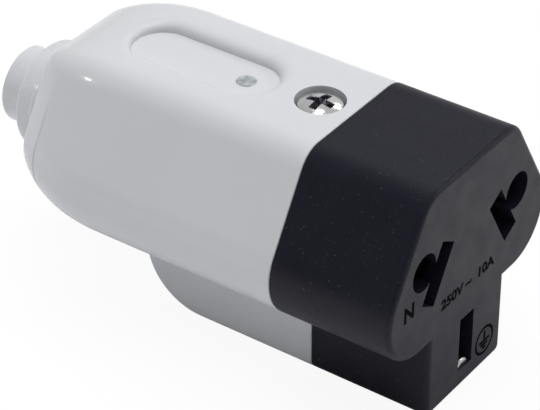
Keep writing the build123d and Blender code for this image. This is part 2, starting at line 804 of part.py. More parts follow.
# Cable sleeve: a soft stepped bush that buttons into the shell's rear hole
with BuildPart() as cable_sleeve:
    axis_origin = (0, face_y, pin_centre_height + cable_axis_height)
    flange_end = collar_end_depth - wall
    ring_start = collar_end_depth + sleeve_groove
    with BuildSketch(Plane(origin=axis_origin, x_dir=(1, 0, 0), z_dir=(0, 0, 1))) as sleeve_section:
        with BuildLine():
            Polyline(
                (cable_bore_radius, flange_end - sleeve_flange_length),
                (sleeve_flange_radius, flange_end - sleeve_flange_length),
                (sleeve_flange_radius, flange_end),
                (sleeve_shank_radius, flange_end),
                (sleeve_shank_radius, ring_start),
                (sleeve_ring_radius, ring_start),
                (sleeve_ring_radius, sleeve_ring_end_depth),
                (sleeve_nose_radius, sleeve_ring_end_depth),
                (sleeve_nose_radius, overall_length),
                (cable_bore_radius, overall_length),
                close=True,
            )
        make_face()
        points = sleeve_section.vertices()
        ring_corner = points.sort_by_distance((sleeve_ring_radius, sleeve_ring_end_depth))[0]
        nose_corner = points.sort_by_distance((sleeve_nose_radius, overall_length))[0]
        step_corner = points.sort_by_distance((sleeve_nose_radius, sleeve_ring_end_depth))[0]
        fillet(ring_corner, sleeve_ring_edge_radius)
        fillet(nose_corner, sleeve_nose_edge_radius)
        fillet(step_corner, sleeve_step_radius)
    revolve(axis=Axis(axis_origin, (0, 1, 0)))
cable_sleeve.part.label = "cable_sleeve"
export_step(cable_sleeve.part, "parts/cable_sleeve.step")
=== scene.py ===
"""Looks of a rewireable cable socket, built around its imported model. Lengths are in metres.

The face with the apertures looks towards -Y, the cable neck points to +Y and +Z is up. The
socket stands on its keel at z = 0.
"""

import logging
from dataclasses import dataclass, field
from enum import Enum

import bmesh
import bpy
import numpy as np
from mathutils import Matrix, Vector


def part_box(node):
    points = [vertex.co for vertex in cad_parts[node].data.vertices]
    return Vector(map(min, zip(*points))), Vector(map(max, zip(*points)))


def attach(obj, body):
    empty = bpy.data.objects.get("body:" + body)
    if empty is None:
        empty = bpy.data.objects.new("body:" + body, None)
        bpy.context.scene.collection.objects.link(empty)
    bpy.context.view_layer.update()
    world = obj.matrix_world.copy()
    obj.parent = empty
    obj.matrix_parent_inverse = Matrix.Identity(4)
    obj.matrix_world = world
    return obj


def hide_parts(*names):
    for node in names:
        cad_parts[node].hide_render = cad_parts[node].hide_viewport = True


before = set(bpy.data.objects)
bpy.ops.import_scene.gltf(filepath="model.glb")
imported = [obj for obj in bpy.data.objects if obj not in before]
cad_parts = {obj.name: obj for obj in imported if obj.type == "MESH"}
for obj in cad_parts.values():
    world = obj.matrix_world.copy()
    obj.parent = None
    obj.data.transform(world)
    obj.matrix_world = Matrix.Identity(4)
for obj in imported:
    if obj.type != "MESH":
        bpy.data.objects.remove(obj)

MM = 0.001
BODY = "root"
PIN_CENTRE_HEIGHT = 16.4 * MM
MERGE_DISTANCE = 0.0005 * MM
SHARP_ANGLE = 0.6

# Noise: its finer octaves, and the ranges of its values that a pattern reads.
CLOUD_DETAIL = 3.0
GRAIN_DETAIL = 2.0
DUST_DETAIL = 1.0
CLOUD_SPAN = (0.3, 0.7)
STAIN_SPAN = (0.35, 0.7)
DUST_SPAN = (0.71, 0.78)
DUST_GREY = (0.55, 0.56, 0.58)

log = logging.getLogger("cable_socket")

Colour = tuple[float, float, float]
Point = tuple[float, float, float]
Pair = tuple[float, float]
Output = bpy.types.NodeSocket
Material = bpy.types.Material


class Pattern(Enum):
    """How a metal was worked. The value scales its fine lines along X, Y and Z."""

    ROLLED = (1.0, 0.05, 1.0)
    TURNED = (1.0, 1.0, 0.2)


class NodeSheet:
    """A short way to lay out the nodes of one material."""

    def __init__(self, name: str) -> None:
        """Start an empty material with a Principled shader.

        Args:
            name: The material's name.
        """
        self.material = bpy.data.materials.new(name)
        self.material.use_nodes = True
        self.tree = self.material.node_tree
        self.shader = self.tree.nodes["Principled BSDF"]
        self.place = self.tree.nodes.new("ShaderNodeTexCoord").outputs["Object"]

    def stretched(self, scale: Point) -> Output:
        """Give the object coordinates, scaled by axis.

        Args:
            scale: Factors along X, Y and Z.

        Returns:
            The output socket with the scaled coordinates.
        """
        mapping = self.tree.nodes.new("ShaderNodeMapping")
        mapping.inputs["Scale"].default_value = scale
        self.tree.links.new(self.place, mapping.inputs["Vector"])
        return mapping.outputs["Vector"]

    def noise(
        self, size: float, detail: float = CLOUD_DETAIL, place: Output | None = None
    ) -> Output:
        """Add noise whose lumps are about one size.

        Args:
            size: Size of a lump in metres.
            detail: Number of finer octaves.
            place: Coordinates to read, or None for the object coordinates.

        Returns:
            The noise's factor.
        """
        node = self.tree.nodes.new("ShaderNodeTexNoise")
        node.inputs["Scale"].default_value = 1.0 / size
        node.inputs["Detail"].default_value = detail
        self.tree.links.new(place or self.place, node.inputs["Vector"])
        return node.outputs["Fac"]

    def spread(self, factor: Output, source: Pair, target: Pair = (0.0, 1.0)) -> Output:
        """Map a factor from one range to another, clamped at its ends.

        Args:
            factor: The value to map.
            source: Range that is read.
            target: Range that is given.

        Returns:
            The mapped value.
        """
        node = self.tree.nodes.new("ShaderNodeMapRange")
        node.inputs["From Min"].default_value, node.inputs["From Max"].default_value = source
        node.inputs["To Min"].default_value, node.inputs["To Max"].default_value = target
        self.tree.links.new(factor, node.inputs["Value"])
        return node.outputs["Result"]

    def blend(self, factor: Output, first: Colour | Output, second: Colour) -> Output:
        """Mix two colours by a factor.

        Args:
            factor: 0 gives the first colour and 1 the second.
            first: The first colour, or the output that gives it.
            second: The second colour.

        Returns:
            The mixed colour.
        """
        node = self.tree.nodes.new("ShaderNodeMix")
        node.data_type = "RGBA"
        if isinstance(first, Output):
            self.tree.links.new(first, node.inputs["A"])
        else:
            node.inputs["A"].default_value = (*first, 1.0)
        node.inputs["B"].default_value = (*second, 1.0)
        self.tree.links.new(factor, node.inputs["Factor"])
        return node.outputs["Result"]

    def join(self, value: Output, socket: str) -> None:
        """Link a value to a socket of the shader.

        Args:
            value: The output to link.
            socket: Name of the shader's input.
        """
        self.tree.links.new(value, self.shader.inputs[socket])

    def emboss(self, height: Output, depth: float) -> None:
        """Turn a height into the shader's normal.

        Args:
            height: Height from 0 to 1.
            depth: Height of the relief in metres.
        """
        bump = self.tree.nodes.new("ShaderNodeBump")
        bump.inputs["Distance"].default_value = depth
        self.tree.links.new(height, bump.inputs["Height"])
        self.join(bump.outputs["Normal"], "Normal")


@dataclass(frozen=True)
class MouldedPlastic:
    """A moulded plastic: colour, gloss, the mould's grain, faint clouds and fine dust."""

    name: str
    colour: Colour
    roughness: float
    grain_size: float
    grain_depth: float
    mottle: float = 0.02
    cloud_size: float = 9 * MM
    roughness_swing: float = 0.04
    haze_size: float = 3 * MM
    specular: float = 0.5
    dust: float = 0.0
    dust_size: float = 0.25 * MM

    def build(self) -> Material:
        """Build the material.

        Returns:
            The finished material.
        """
        sheet = NodeSheet(self.name)
        sheet.shader.inputs["Specular IOR Level"].default_value = self.specular
        cloud = sheet.spread(sheet.noise(self.cloud_size), CLOUD_SPAN)
        dark = tuple(channel * (1 - self.mottle) for channel in self.colour)
        light = tuple(min(channel * (1 + self.mottle), 1.0) for channel in self.colour)
        colour = sheet.blend(cloud, dark, light)
        if self.dust > 0:
            specks = sheet.noise(self.dust_size, DUST_DETAIL)
            veil = sheet.spread(specks, DUST_SPAN, (0.0, self.dust))
            colour = sheet.blend(veil, colour, DUST_GREY)
        sheet.join(colour, "Base Color")
        low = self.roughness - self.roughness_swing
        high = self.roughness + self.roughness_swing
        haze = sheet.spread(sheet.noise(self.haze_size), CLOUD_SPAN, (low, high))
        sheet.join(haze, "Roughness")
        sheet.emboss(sheet.noise(self.grain_size, GRAIN_DETAIL), self.grain_depth)
        return sheet.material


@dataclass(frozen=True)
class PlatedMetal:
    """A bright metal with faint stains and the fine lines of rolling or turning.

    The roughness swings between two factors of itself along the lines, and a stain leaves a
    share of the colour.
    """

    name: str
    colour: Colour
    roughness: float
    pattern: Pattern
    line_depth: float = 0.004 * MM
    line_size: float = 0.12 * MM
    line_swing: Pair = (0.8, 1.25)
    stain_size: float = 2 * MM
    stain_share: float = 0.86

    def build(self) -> Material:
        """Build the material.

        Returns:
            The finished material.
        """
        sheet = NodeSheet(self.name)
        sheet.shader.inputs["Metallic"].default_value = 1.0
        lines = sheet.noise(self.line_size, GRAIN_DETAIL, sheet.stretched(self.pattern.value))
        stain = sheet.spread(sheet.noise(self.stain_size), STAIN_SPAN)
        dull = tuple(channel * self.stain_share for channel in self.colour)
        sheet.join(sheet.blend(stain, self.colour, dull), "Base Color")
        low, high = (self.roughness * swing for swing in self.line_swing)
        sheet.join(sheet.spread(lines, CLOUD_SPAN, (low, high)), "Roughness")
        sheet.emboss(lines, self.line_depth)
        return sheet.material


SHELL_GLOSS = MouldedPlastic(
    name="shell_gloss",
    colour=(0.70, 0.715, 0.74),
    roughness=0.16,
    grain_size=1.4 * MM,
    grain_depth=0.002 * MM,
    mottle=0.012,
    roughness_swing=0.03,
)
SLEEVE_SATIN = MouldedPlastic(
    name="sleeve_satin",
    colour=(0.69, 0.70, 0.725),
    roughness=0.26,
    grain_size=0.8 * MM,
    grain_depth=0.003 * MM,
)
CORE_MATTE = MouldedPlastic(
    name="core_matte",
    colour=(0.0096, 0.0100, 0.0185),
    roughness=0.42,
    grain_size=0.16 * MM,
    grain_depth=0.008 * MM,
    mottle=0.08,
    roughness_swing=0.05,
    specular=0.22,
    dust=0.12,
)
CLAMP_MATTE = MouldedPlastic(
    name="clamp_matte",
    colour=(0.030, 0.031, 0.036),
    roughness=0.45,
    grain_size=0.3 * MM,
    grain_depth=0.008 * MM,
    mottle=0.06,
)
# Near black, darker than the core: painted shade of the cut marks, which are of the core's own
# black plastic.
MARK_PAINTED_SHADE = MouldedPlastic(
    name="mark_painted_shade",
    colour=(0.0015, 0.0015, 0.002),
    roughness=0.85,
    grain_size=0.2 * MM,
    grain_depth=0.004 * MM,
    mottle=0.1,
    specular=0.04,
)
# Darker grey with a strong mottle: the gate's own rough mark, and painted shade of the dimple it
# sits in.
GATE_GREY_AND_SHADE = MouldedPlastic(
    name="gate_grey_and_painted_shade",
    colour=(0.38, 0.41, 0.42),
    roughness=0.40,
    grain_size=0.5 * MM,
    grain_depth=0.05 * MM,
    mottle=0.38,
    cloud_size=0.7 * MM,
)
CONTACT_NICKEL = PlatedMetal("contact_nickel", (0.78, 0.77, 0.75), 0.24, Pattern.ROLLED)
CONTACT_BRASS = PlatedMetal("contact_brass", (0.83, 0.66, 0.34), 0.28, Pattern.ROLLED)
PLATE_ZINC = PlatedMetal("plate_zinc", (0.71, 0.71, 0.72), 0.33, Pattern.ROLLED)
SCREW_ZINC = PlatedMetal("screw_zinc", (0.72, 0.72, 0.73), 0.28, Pattern.TURNED)
SCREW_NICKEL = PlatedMetal(
    "screw_nickel", (0.88, 0.88, 0.88), 0.13, Pattern.TURNED, line_depth=0.006 * MM
)
# Dark grey for the faces deep in the screw's cross: painted shade in the recess.
PIT_PAINTED_SHADE = PlatedMetal("pit_painted_shade", (0.24, 0.235, 0.26), 0.22, Pattern.TURNED)


def dress(node: str, material: Material) -> None:
    """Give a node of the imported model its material.

    Args:
        node: The node's name.
        material: The material to show.
    """
    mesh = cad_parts[node].data
    mesh.materials.clear()
    mesh.materials.append(material)
    log.info("dressed %s in %s", node, material.name)


def full_turn(steps: int) -> np.ndarray:
    """Give evenly spaced angles round a full turn, without its end."""
    return np.linspace(0, 2 * np.pi, steps, endpoint=False)


def spokes(angles: np.ndarray) -> np.ndarray:
    """Give unit vectors across the cable at angles from +X towards +Z."""
    return np.column_stack([np.cos(angles), np.zeros(len(angles)), np.sin(angles)])


def grid_faces(rows: int, columns: int, wrap_rows: bool, wrap_columns: bool) -> np.ndarray:
    """Number the four corners of every cell of a grid of points.

    Args:
        rows: Points along the first direction.
        columns: Points along the second direction.
        wrap_rows: Whether the last row joins the first.
        wrap_columns: Whether the last column joins the first.

    Returns:
        Array of faces with four vertex numbers each.
    """
    row = np.arange(rows if wrap_rows else rows - 1)
    column = np.arange(columns if wrap_columns else columns - 1)
    i, j = np.meshgrid(row, column, indexing="ij")
    here, there = i * columns, (i + 1) % rows * columns
    next_j = (j + 1) % columns
    corners = (here + j, there + j, there + next_j, here + next_j)
    return np.stack([corner.ravel() for corner in corners], axis=1)


def place_piece(
    name: str, mesh: bpy.types.Mesh, material: Material
) -> bpy.types.Object:
    """Put a mesh into the scene as a piece that rides on the socket.

    Args:
        name: The piece's name.
        mesh: The piece's mesh.
        material: The material to show.

    Returns:
        The piece.
    """
    mesh.materials.append(material)
    piece = bpy.data.objects.new(name, mesh)
    bpy.context.scene.collection.objects.link(piece)
    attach(piece, BODY)
    log.info("made %s", name)
    return piece


def make_piece(
    name: str, points: np.ndarray, faces: np.ndarray, material: Material
) -> bpy.types.Object:
    """Make a closed, smooth piece of a grid of points.

    Points that coincide, as at a pole, are merged, and the faces are then turned outwards.

    Args:
        name: The piece's name.
        points: Grid of points.
        faces: Faces by vertex number.
        material: The material to show.

    Returns:
        The piece.
    """
    mesh = bpy.data.meshes.new(name)
    mesh.from_pydata(points.reshape(-1, 3).tolist(), [], faces.tolist())
    form = bmesh.new()
    form.from_mesh(mesh)
    bmesh.ops.remove_doubles(form, verts=form.verts, dist=MERGE_DISTANCE)
    bmesh.ops.recalc_face_normals(form, faces=form.faces)
    form.to_mesh(mesh)
    form.free()
    mesh.shade_smooth()
    mesh.set_sharp_from_angle(angle=SHARP_ANGLE)
    return place_piece(name, mesh, material)


@dataclass
class NeckForms:
    """The hollow blend at the neck's root and the joint between the neck and its sleeve.

    Starts and ends are places along the cable, and radii count from the cable's axis.
    """

    axis_height: float = PIN_CENTRE_HEIGHT + 1.85 * MM
    ring_steps: int = 192
    root_depth: float = 0.3 * MM

    dome_end: float = 23.7 * MM
    neck_radius: float = 7.33 * MM
    blend_radius: float = 3.0 * MM
    blend_bias: float = 0.9
    blend_least: float = 0.02
    blend_steps: int = 17

    joint_start: float = 27.0 * MM
    joint_end: float = 28.5 * MM
    joint_radii: Pair = (7.40 * MM, 7.305 * MM)
    joint_sink: float = 0.09 * MM
    joint_lift: float = 0.006 * MM
    joint_steps: int = 13

    def ring(
        self, name: str, turn: np.ndarray, out: np.ndarray, back: np.ndarray, material: Material
    ) -> None:
        """Carry a closed profile round the cable's axis and make the ring.

        Args:
            name: The piece's name.
            turn: Column of angles from +X towards +Z.
            out: The profile's radii, the same at all angles or a row for each.
            back: The profile's places along the cable, likewise.
            material: The material to show.
        """
        height = self.axis_height + out * np.sin(turn)
        points = np.stack([out * np.cos(turn), back + 0 * turn, height], axis=-1)
        faces = grid_faces(points.shape[0], points.shape[1], True, True)
        make_piece(name, points, faces, material)

    def root(self, material: Material) -> None:
        """Blend the dome's blunt end into the neck with a hollow quarter round.

        The section is a quarter circle between the end face and the neck. Its radius is the
        blend's times a share, the sine of the angle plus a bias. The share is held at 1 above
        the cable and at next to nothing below it, where the neck runs on in the dome's underside.

        Args:
            material: The material to show.
        """
        turn = full_turn(self.ring_steps)[:, None]
        quarter = np.linspace(0, 0.5 * np.pi, self.blend_steps)[None, :]
        share = np.clip(np.sin(turn) + self.blend_bias, self.blend_least, 1.0)
        radius = self.blend_radius * share
        out = self.neck_radius + radius * (1 - np.sin(quarter))
        back = self.dome_end + radius * (1 - np.cos(quarter))
        inner = np.full_like(turn, self.neck_radius - self.root_depth)
        front = np.full_like(turn, self.dome_end - self.root_depth)
        out = np.concatenate([out, inner], axis=1)
        back = np.concatenate([back, front], axis=1)
        self.ring("neck_root", turn, out, back, material)

    def joint(self, material: Material) -> None:
        """Bridge the gap between the neck and the sleeve's ring with a shallow valley.

        Along the cable the radius runs straight between the two, less the sink times the
        squared sine, and the whole lies a little proud of both.

        Args:
            material: The material to show.
        """
        turn = full_turn(self.ring_steps)[:, None]
        share = np.linspace(0, 1, self.joint_steps)
        first, last = self.joint_radii
        out = first + (last - first) * share - self.joint_sink * np.sin(np.pi * share) ** 2
        back = self.joint_start + (self.joint_end - self.joint_start) * share
        out = np.append(out + self.joint_lift, last - self.root_depth)
        back = np.append(back, 0.5 * (self.joint_start + self.joint_end))
        self.ring("neck_joint", turn, out, back, material)


@dataclass
class DomeSeam:
    """The shallow seam round the dome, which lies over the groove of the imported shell."""

    start: float = 20.0 * MM
    width: float = 0.35 * MM
    lap: float = 0.08 * MM
    lift: float = 0.006 * MM
    sink: float = 0.13 * MM
    fade: Pair = (24.0 * MM, 27.0 * MM)
    root_depth: float = 0.3 * MM
    centre_height: float = PIN_CENTRE_HEIGHT + 4.4 * MM
    ray_length: float = 40 * MM
    ring_steps: int = 480
    profile_steps: int = 9

    def outside(self, y: float, angles: np.ndarray) -> np.ndarray:
        """Find the shell's outside in a plane across the cable.

        At each angle a ray runs inwards from beyond the shell to the dome's middle line.

        Args:
            y: Place of the plane.
            angles: Angles from +X towards +Z.

        Returns:
            The first point that each ray meets.
        """
        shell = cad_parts["rear_shell"]
        rays = spokes(angles)
        starts = np.array([0.0, y, self.centre_height]) + self.ray_length * rays
        return np.array([shell.ray_cast(Vector(a), Vector(-b))[1] for a, b in zip(starts, rays)])

    def build(self, material: Material) -> None:
        """Raise the floor of the groove round the dome to a shallow, soft one.

        Across the groove the surface runs straight from rim to rim, a little proud of it, less
        the sink times the squared sine. The sink fades out over the top of the dome.

        Args:
            material: The material to show.
        """
        angles = full_turn(self.ring_steps)
        outward = spokes(angles)[:, None, :]
        near = self.outside(self.start - self.lap, angles)[:, None, :]
        far = self.outside(self.start + self.width + self.lap, angles)[:, None, :]
        low, high = self.fade
        fade = np.clip((high - near[:, 0, 2]) / (high - low), 0, 1)
        share = np.linspace(0, 1, self.profile_steps)
        rise = self.lift - self.sink * fade[:, None] * np.sin(np.pi * share) ** 2
        surface = near + (far - near) * share[None, :, None]
        surface = surface + rise[:, :, None] * outward
        root = 0.5 * (near + far) - self.root_depth * outward
        points = np.concatenate([surface, root], axis=1)
        faces = grid_faces(points.shape[0], points.shape[1], True, True)
        make_piece("dome_seam", points, faces, material)


@dataclass
class ThumbRecess:
    """The thumb recess on the top: its dish, and the rough mark of the mould's gate in it,
    painted darker grey for the shade of the gate's dimple.

    Setbacks count from the screw's axis, and depths from the shell's top.
    """

    setback: float = 4.9 * MM
    length: float = 24.2 * MM
    half_width: float = 5.7 * MM
    rim_half_width: float = 6.15 * MM
    floor_half_width: float = 3.95 * MM
    depth: float = 1.35 * MM
    rim_power: float = 2.5
    rim_lap: float = 0.38 * MM
    rim_settle: float = 0.004 * MM
    root_depth: float = 0.3 * MM
    ring_steps: int = 192
    first_angle: float = 0.01
    wall_steps: int = 25
    wall_crowding: float = 0.8

    gate_setback: float = 10.8 * MM
    gate_radius: float = 1.3 * MM
    gate_height: float = 0.02 * MM
    gate_steps: int = 96
    # The mark's section, as shares of its radius and height.
    gate_profile: tuple[Pair, ...] = (
        (0.0, 1.0),
        (0.9, 1.0),
        (1.0, 0.5),
        (1.0, -1.0),
        (0.0, -1.0),
    )

    def oblong(self, out: np.ndarray, rise: np.ndarray, middle: float) -> np.ndarray:
        """Carry a profile round an oblong of two half circles and straight sides.

        At each angle the outline is the circle of the profile's distance, moved apart along Y.
        The first angle is a little past +X, so that no point lies where the halves part.

        Args:
            out: The profile's distances from the oblong's middle line.
            rise: The profile's heights.
            middle: Place of the oblong's centre along Y.

        Returns:
            Grid of points, by angle and along the profile.
        """
        turn = full_turn(self.ring_steps)[:, None] + self.first_angle
        half = 0.5 * self.length - self.half_width
        across = out * np.cos(turn)
        along = middle + out * np.sin(turn) + half * np.sign(np.sin(turn))
        return np.stack([across, along, rise + 0 * turn], axis=-1)

    def dish(self, screw_y: float, top: float, material: Material) -> None:
        """Line the recess with its rounded rim, steep wall and level floor.

        From the rim inwards the wall falls as a quarter of a superellipse: the height is the
        depth times (1 - s^p)^(1/p), less the depth, with s from 0 at the rim to 1 at the floor.
        The steps of s are a sine to the power of the crowding. The rim settles on the shell's
        own surface, which rays from above find.

        Args:
            screw_y: Place of the screw's axis.
            top: Height of the shell's top.
            material: The material to show.
        """
        share = np.sin(np.linspace(0, 0.5 * np.pi, self.wall_steps)) ** self.wall_crowding
        fall = self.depth * ((1 - share**self.rim_power) ** (1 / self.rim_power) - 1)
        wall = self.rim_half_width + (self.floor_half_width - self.rim_half_width) * share
        rim = self.rim_half_width + self.rim_lap
        floor = top - self.depth
        root = floor - self.root_depth
        out = np.concatenate([[rim], wall, [0, 0, self.floor_half_width, rim]])
        rise = np.concatenate([[top], top + fall, [floor, root, root, top - self.root_depth]])
        settle = np.concatenate([[1], 1 - share, [0, 0, 0, 1]])
        points = self.oblong(out, rise, screw_y + self.setback + 0.5 * self.length)
        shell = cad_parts["rear_shell"]
        starts = points[:, 0] + (0, 0, self.rim_lap)
        down = Vector((0, 0, -1))
        found = np.array([shell.ray_cast(Vector(start), down)[1][2] for start in starts])
        points[:, :, 2] -= (top - found + self.rim_settle)[:, None] * settle
        faces = grid_faces(points.shape[0], points.shape[1], True, True)
        make_piece("thumb_dish", points, faces, material)

    def gate(self, screw_y: float, top: float, material: Material) -> None:
        """Lay the mark of the mould's gate on the floor, a thin disc with a bevelled edge, whose
        darker grey is partly the gate's rough mark and partly painted shade of its dimple.

        Args:
            screw_y: Place of the screw's axis.
            top: Height of the shell's top.
            material: The material to show.
        """
        turn = full_turn(self.gate_steps)[:, None]
        profile = np.array(self.gate_profile)
        out = self.gate_radius * profile[None, :, 0]
        along = screw_y + self.gate_setback + out * np.sin(turn)
        rise = top - self.depth + self.gate_height * profile[None, :, 1] + 0 * turn
        points = np.stack([out * np.cos(turn), along, rise], axis=-1)
        faces = grid_faces(points.shape[0], points.shape[1], True, False)
        make_piece("gate_mark_and_shade", points, faces, material)

    def build(self, shell: Material, gate: Material) -> None:
        """Make the dish and the mark in it.

        Args:
            shell: The shell's material.
            gate: The mark's material, partly painted shade.
        """
        screw_y = np.mean(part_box("shell_screw"), axis=0)[1]
        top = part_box("rear_shell")[1][2]
        self.dish(screw_y, top, shell)
        self.gate(screw_y, top, gate)


@dataclass
class DomedScrew:
    """The shell's screw with its domed head and tapered cross recess, whose deep faces are
    painted with shade.
    """

    edge_slope: float = 0.31
    lift: float = 0.35 * MM
    rim_height: float = 0.9 * MM
    shank_radius: float = 1.5 * MM
    dome_steps: int = 90
    ring_steps: int = 288

    cross_reach: float = 1.75 * MM
    cross_half_width: float = 0.46 * MM
    cross_depth: float = 1.25 * MM
    cross_end_share: float = 0.45
    cross_wall: float = 0.10 * MM
    # Faces this far under the dome, within this reach of the axis, get the painted shade.
    shade_below: float = 0.32 * MM
    shade_reach: float = 1.925 * MM

    def arm(self, along: np.ndarray, across: np.ndarray) -> np.ndarray:
        """Tell how far places lie inside an arm of the cross.

        Args:
            along: Places along the arm.
            across: Places across it.

        Returns:
            1 inside the arm and 0 outside it, with a straight slope over the wall.
        """
        ends = (self.cross_reach - np.abs(along)) / self.cross_wall + 0.5
        sides = (self.cross_half_width - np.abs(across)) / self.cross_wall + 0.5
        return np.clip(ends, 0, 1) * np.clip(sides, 0, 1)

    def cross(self, x: np.ndarray, y: np.ndarray) -> np.ndarray:
        """Work out the depth of the cross recess.

        The arm that cuts deeper counts. The floor rises in a straight line from the middle to
        the arms' ends.

        Args:
            x: Places along the first arm.
            y: Places along the second arm.

        Returns:
            The depth under the dome.
        """
        reach = np.clip(np.hypot(x, y) / self.cross_reach, 0, 1)
        floor = 1 - (1 - self.cross_end_share) * reach
        return self.cross_depth * floor * np.maximum(self.arm(x, y), self.arm(y, x))

    def paint_pit_shade(
        self, piece: bpy.types.Object, centre: Point, ball: float, seat: float, dark: Material
    ) -> None:
        """Paint shade into the cross: the faces that lie deep in it get a darker material.

        Args:
            piece: The screw.
            centre: Centre of the sphere that the dome is a part of.
            ball: Radius of that sphere.
            seat: Height of the head's underside.
            dark: The painted shade in the cross.
        """
        polygons = piece.data.polygons
        places = np.empty(3 * len(polygons))
        polygons.foreach_get("center", places)
        places = places.reshape(-1, 3) - centre
        sunk = ball - np.linalg.norm(places, axis=1) > self.shade_below
        inside = np.hypot(places[:, 0], places[:, 1]) < self.shade_reach
        above = places[:, 2] + centre[2] > seat
        piece.data.materials.append(dark)
        polygons.foreach_set("material_index", (sunk & inside & above).astype(np.int32))

    def build(self, material: Material, dark: Material) -> None:
        """Turn the screw: a shank, a straight rim and a dome that is a part of a sphere.

        The dome's height is the sphere's, sqrt(R^2 - r^2), less the depth of the cross.

        Args:
            material: The material to show.
            dark: The painted shade in the cross.
        """
        low, high = (np.array(corner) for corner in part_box("shell_screw"))
        middle = 0.5 * (low + high)
        head = 0.5 * (high[0] - low[0])
        ball = head / np.sin(self.edge_slope)
        top = high[2] + self.lift
        seat = top - ball * (1 - np.cos(self.edge_slope)) - self.rim_height
        shank = np.array([[0, low[2]], [self.shank_radius, low[2]], [self.shank_radius, seat]])
        radii = np.linspace(head, 0, self.dome_steps)
        dome = top - ball + np.sqrt(ball**2 - radii**2)
        out = np.concatenate([shank[:, 0], [head], radii])
        rise = np.concatenate([shank[:, 1], [seat], dome])
        turn = full_turn(self.ring_steps)[None, :]
        x = out[:, None] * np.cos(turn)
        y = out[:, None] * np.sin(turn)
        z = rise[:, None] + 0 * turn
        z[-self.dome_steps :] -= self.cross(x[-self.dome_steps :], y[-self.dome_steps :])
        points = np.stack([middle[0] + x, middle[1] + y, z], axis=-1)
        faces = grid_faces(points.shape[0], points.shape[1], False, True)
        piece = make_piece("domed_screw", points, faces, material)
        self.paint_pit_shade(piece, (middle[0], middle[1], top - ball), ball, seat, dark)
        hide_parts("shell_screw")


